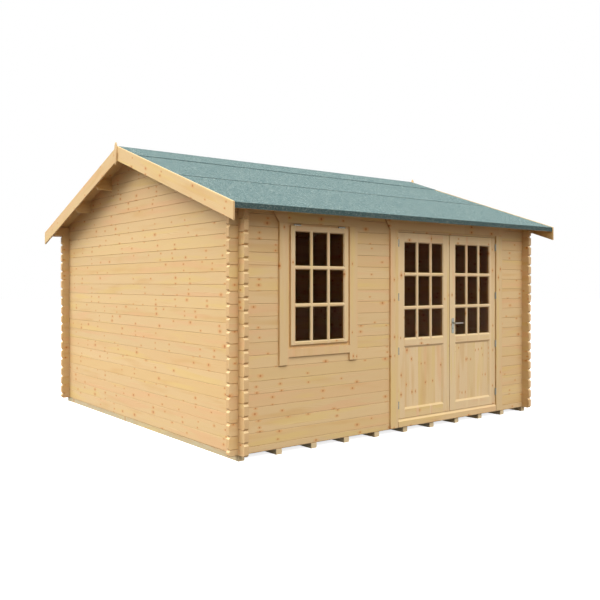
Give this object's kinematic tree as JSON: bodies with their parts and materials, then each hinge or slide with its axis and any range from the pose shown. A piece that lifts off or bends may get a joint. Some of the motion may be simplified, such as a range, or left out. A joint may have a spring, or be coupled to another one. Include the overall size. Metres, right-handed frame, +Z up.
{
  "type": "log cabin",
  "caption": "Log cabin of notched, interlocking logs with a felted ridge roof, a pair of part-glazed doors that open outwards and a casement window under the front eaves.",
  "frame": {"origin": "middle of the cabin's plan, on the ground under the floor bearers", "axes": "+Z up, the front with the doors faces -Y, +X to the right along the front"},
  "size_m": [4.47, 4.516, 2.9757],
  "materials": {
    "log_timber": "planed, untreated softwood",
    "joinery_timber": "planed, untreated softwood",
    "roof_timber": "planed, untreated softwood",
    "floor_timber": "planed, untreated softwood",
    "treated_timber": "pressure treated softwood",
    "roof_felt": "green mineral surfaced bitumen felt",
    "glass": "clear",
    "ironmongery": "zinc plated",
    "handle_metal": "satin"
  },
  "bodies": {
    "cabin": {"floor_bearers": "treated_timber", "floor": "floor_timber", "base_logs": "log_timber", "front_wall_left": "log_timber", "front_wall_middle": "log_timber", "front_wall_right": "log_timber", "front_wall_top": "log_timber", "back_wall": "log_timber", "left_wall": "log_timber", "right_wall": "log_timber", "left_gable": "log_timber", "right_gable": "log_timber", "roof_purlins": "roof_timber", "front_roof_boards": "roof_timber", "back_roof_boards": "roof_timber", "eaves_boards": "roof_timber", "front_felt": "roof_felt", "back_felt": "roof_felt", "ridge_felt": "roof_felt", "left_barge_boards": "joinery_timber", "right_barge_boards": "joinery_timber", "finials": "joinery_timber", "door_frame": "joinery_timber", "door_threshold": "joinery_timber", "door_casing": "joinery_timber", "inner_casings": "joinery_timber", "hinges_on_frame": "ironmongery", "window_frame": "joinery_timber", "window_sash": "joinery_timber", "window_glass": "glass", "window_hinges": "ironmongery", "window_casing": "joinery_timber"},
    "left_leaf": {"left_door": "joinery_timber", "left_door_glass": "glass", "left_door_panel": "joinery_timber", "hinges_on_left_door": "ironmongery"},
    "right_leaf": {"right_door": "joinery_timber", "right_door_glass": "glass", "right_door_panel": "joinery_timber", "hinges_on_right_door": "ironmongery", "handle_plates": "handle_metal"},
    "handle": {"lever_handle": "handle_metal"}
  },
  "joints": [
    {"name": "left_door_swing", "type": "hinge", "parent": "cabin", "child": "left_leaf", "pos_m": [-0.1095, -2.021, 0], "axis": [0, 0, -1], "range_deg": [0, 110]},
    {"name": "right_door_swing", "type": "hinge", "parent": "cabin", "child": "right_leaf", "pos_m": [1.4435, -2.021, 0], "axis": [0, 0, 1], "range_deg": [0, 110]},
    {"name": "lever_turn", "type": "hinge", "parent": "right_leaf", "child": "handle", "pos_m": [0.72075, -1.992, 1.078], "axis": [0, 1, 0], "range_deg": [0, 40], "stiffness_Nm_per_rad": 0.5}
  ]
}
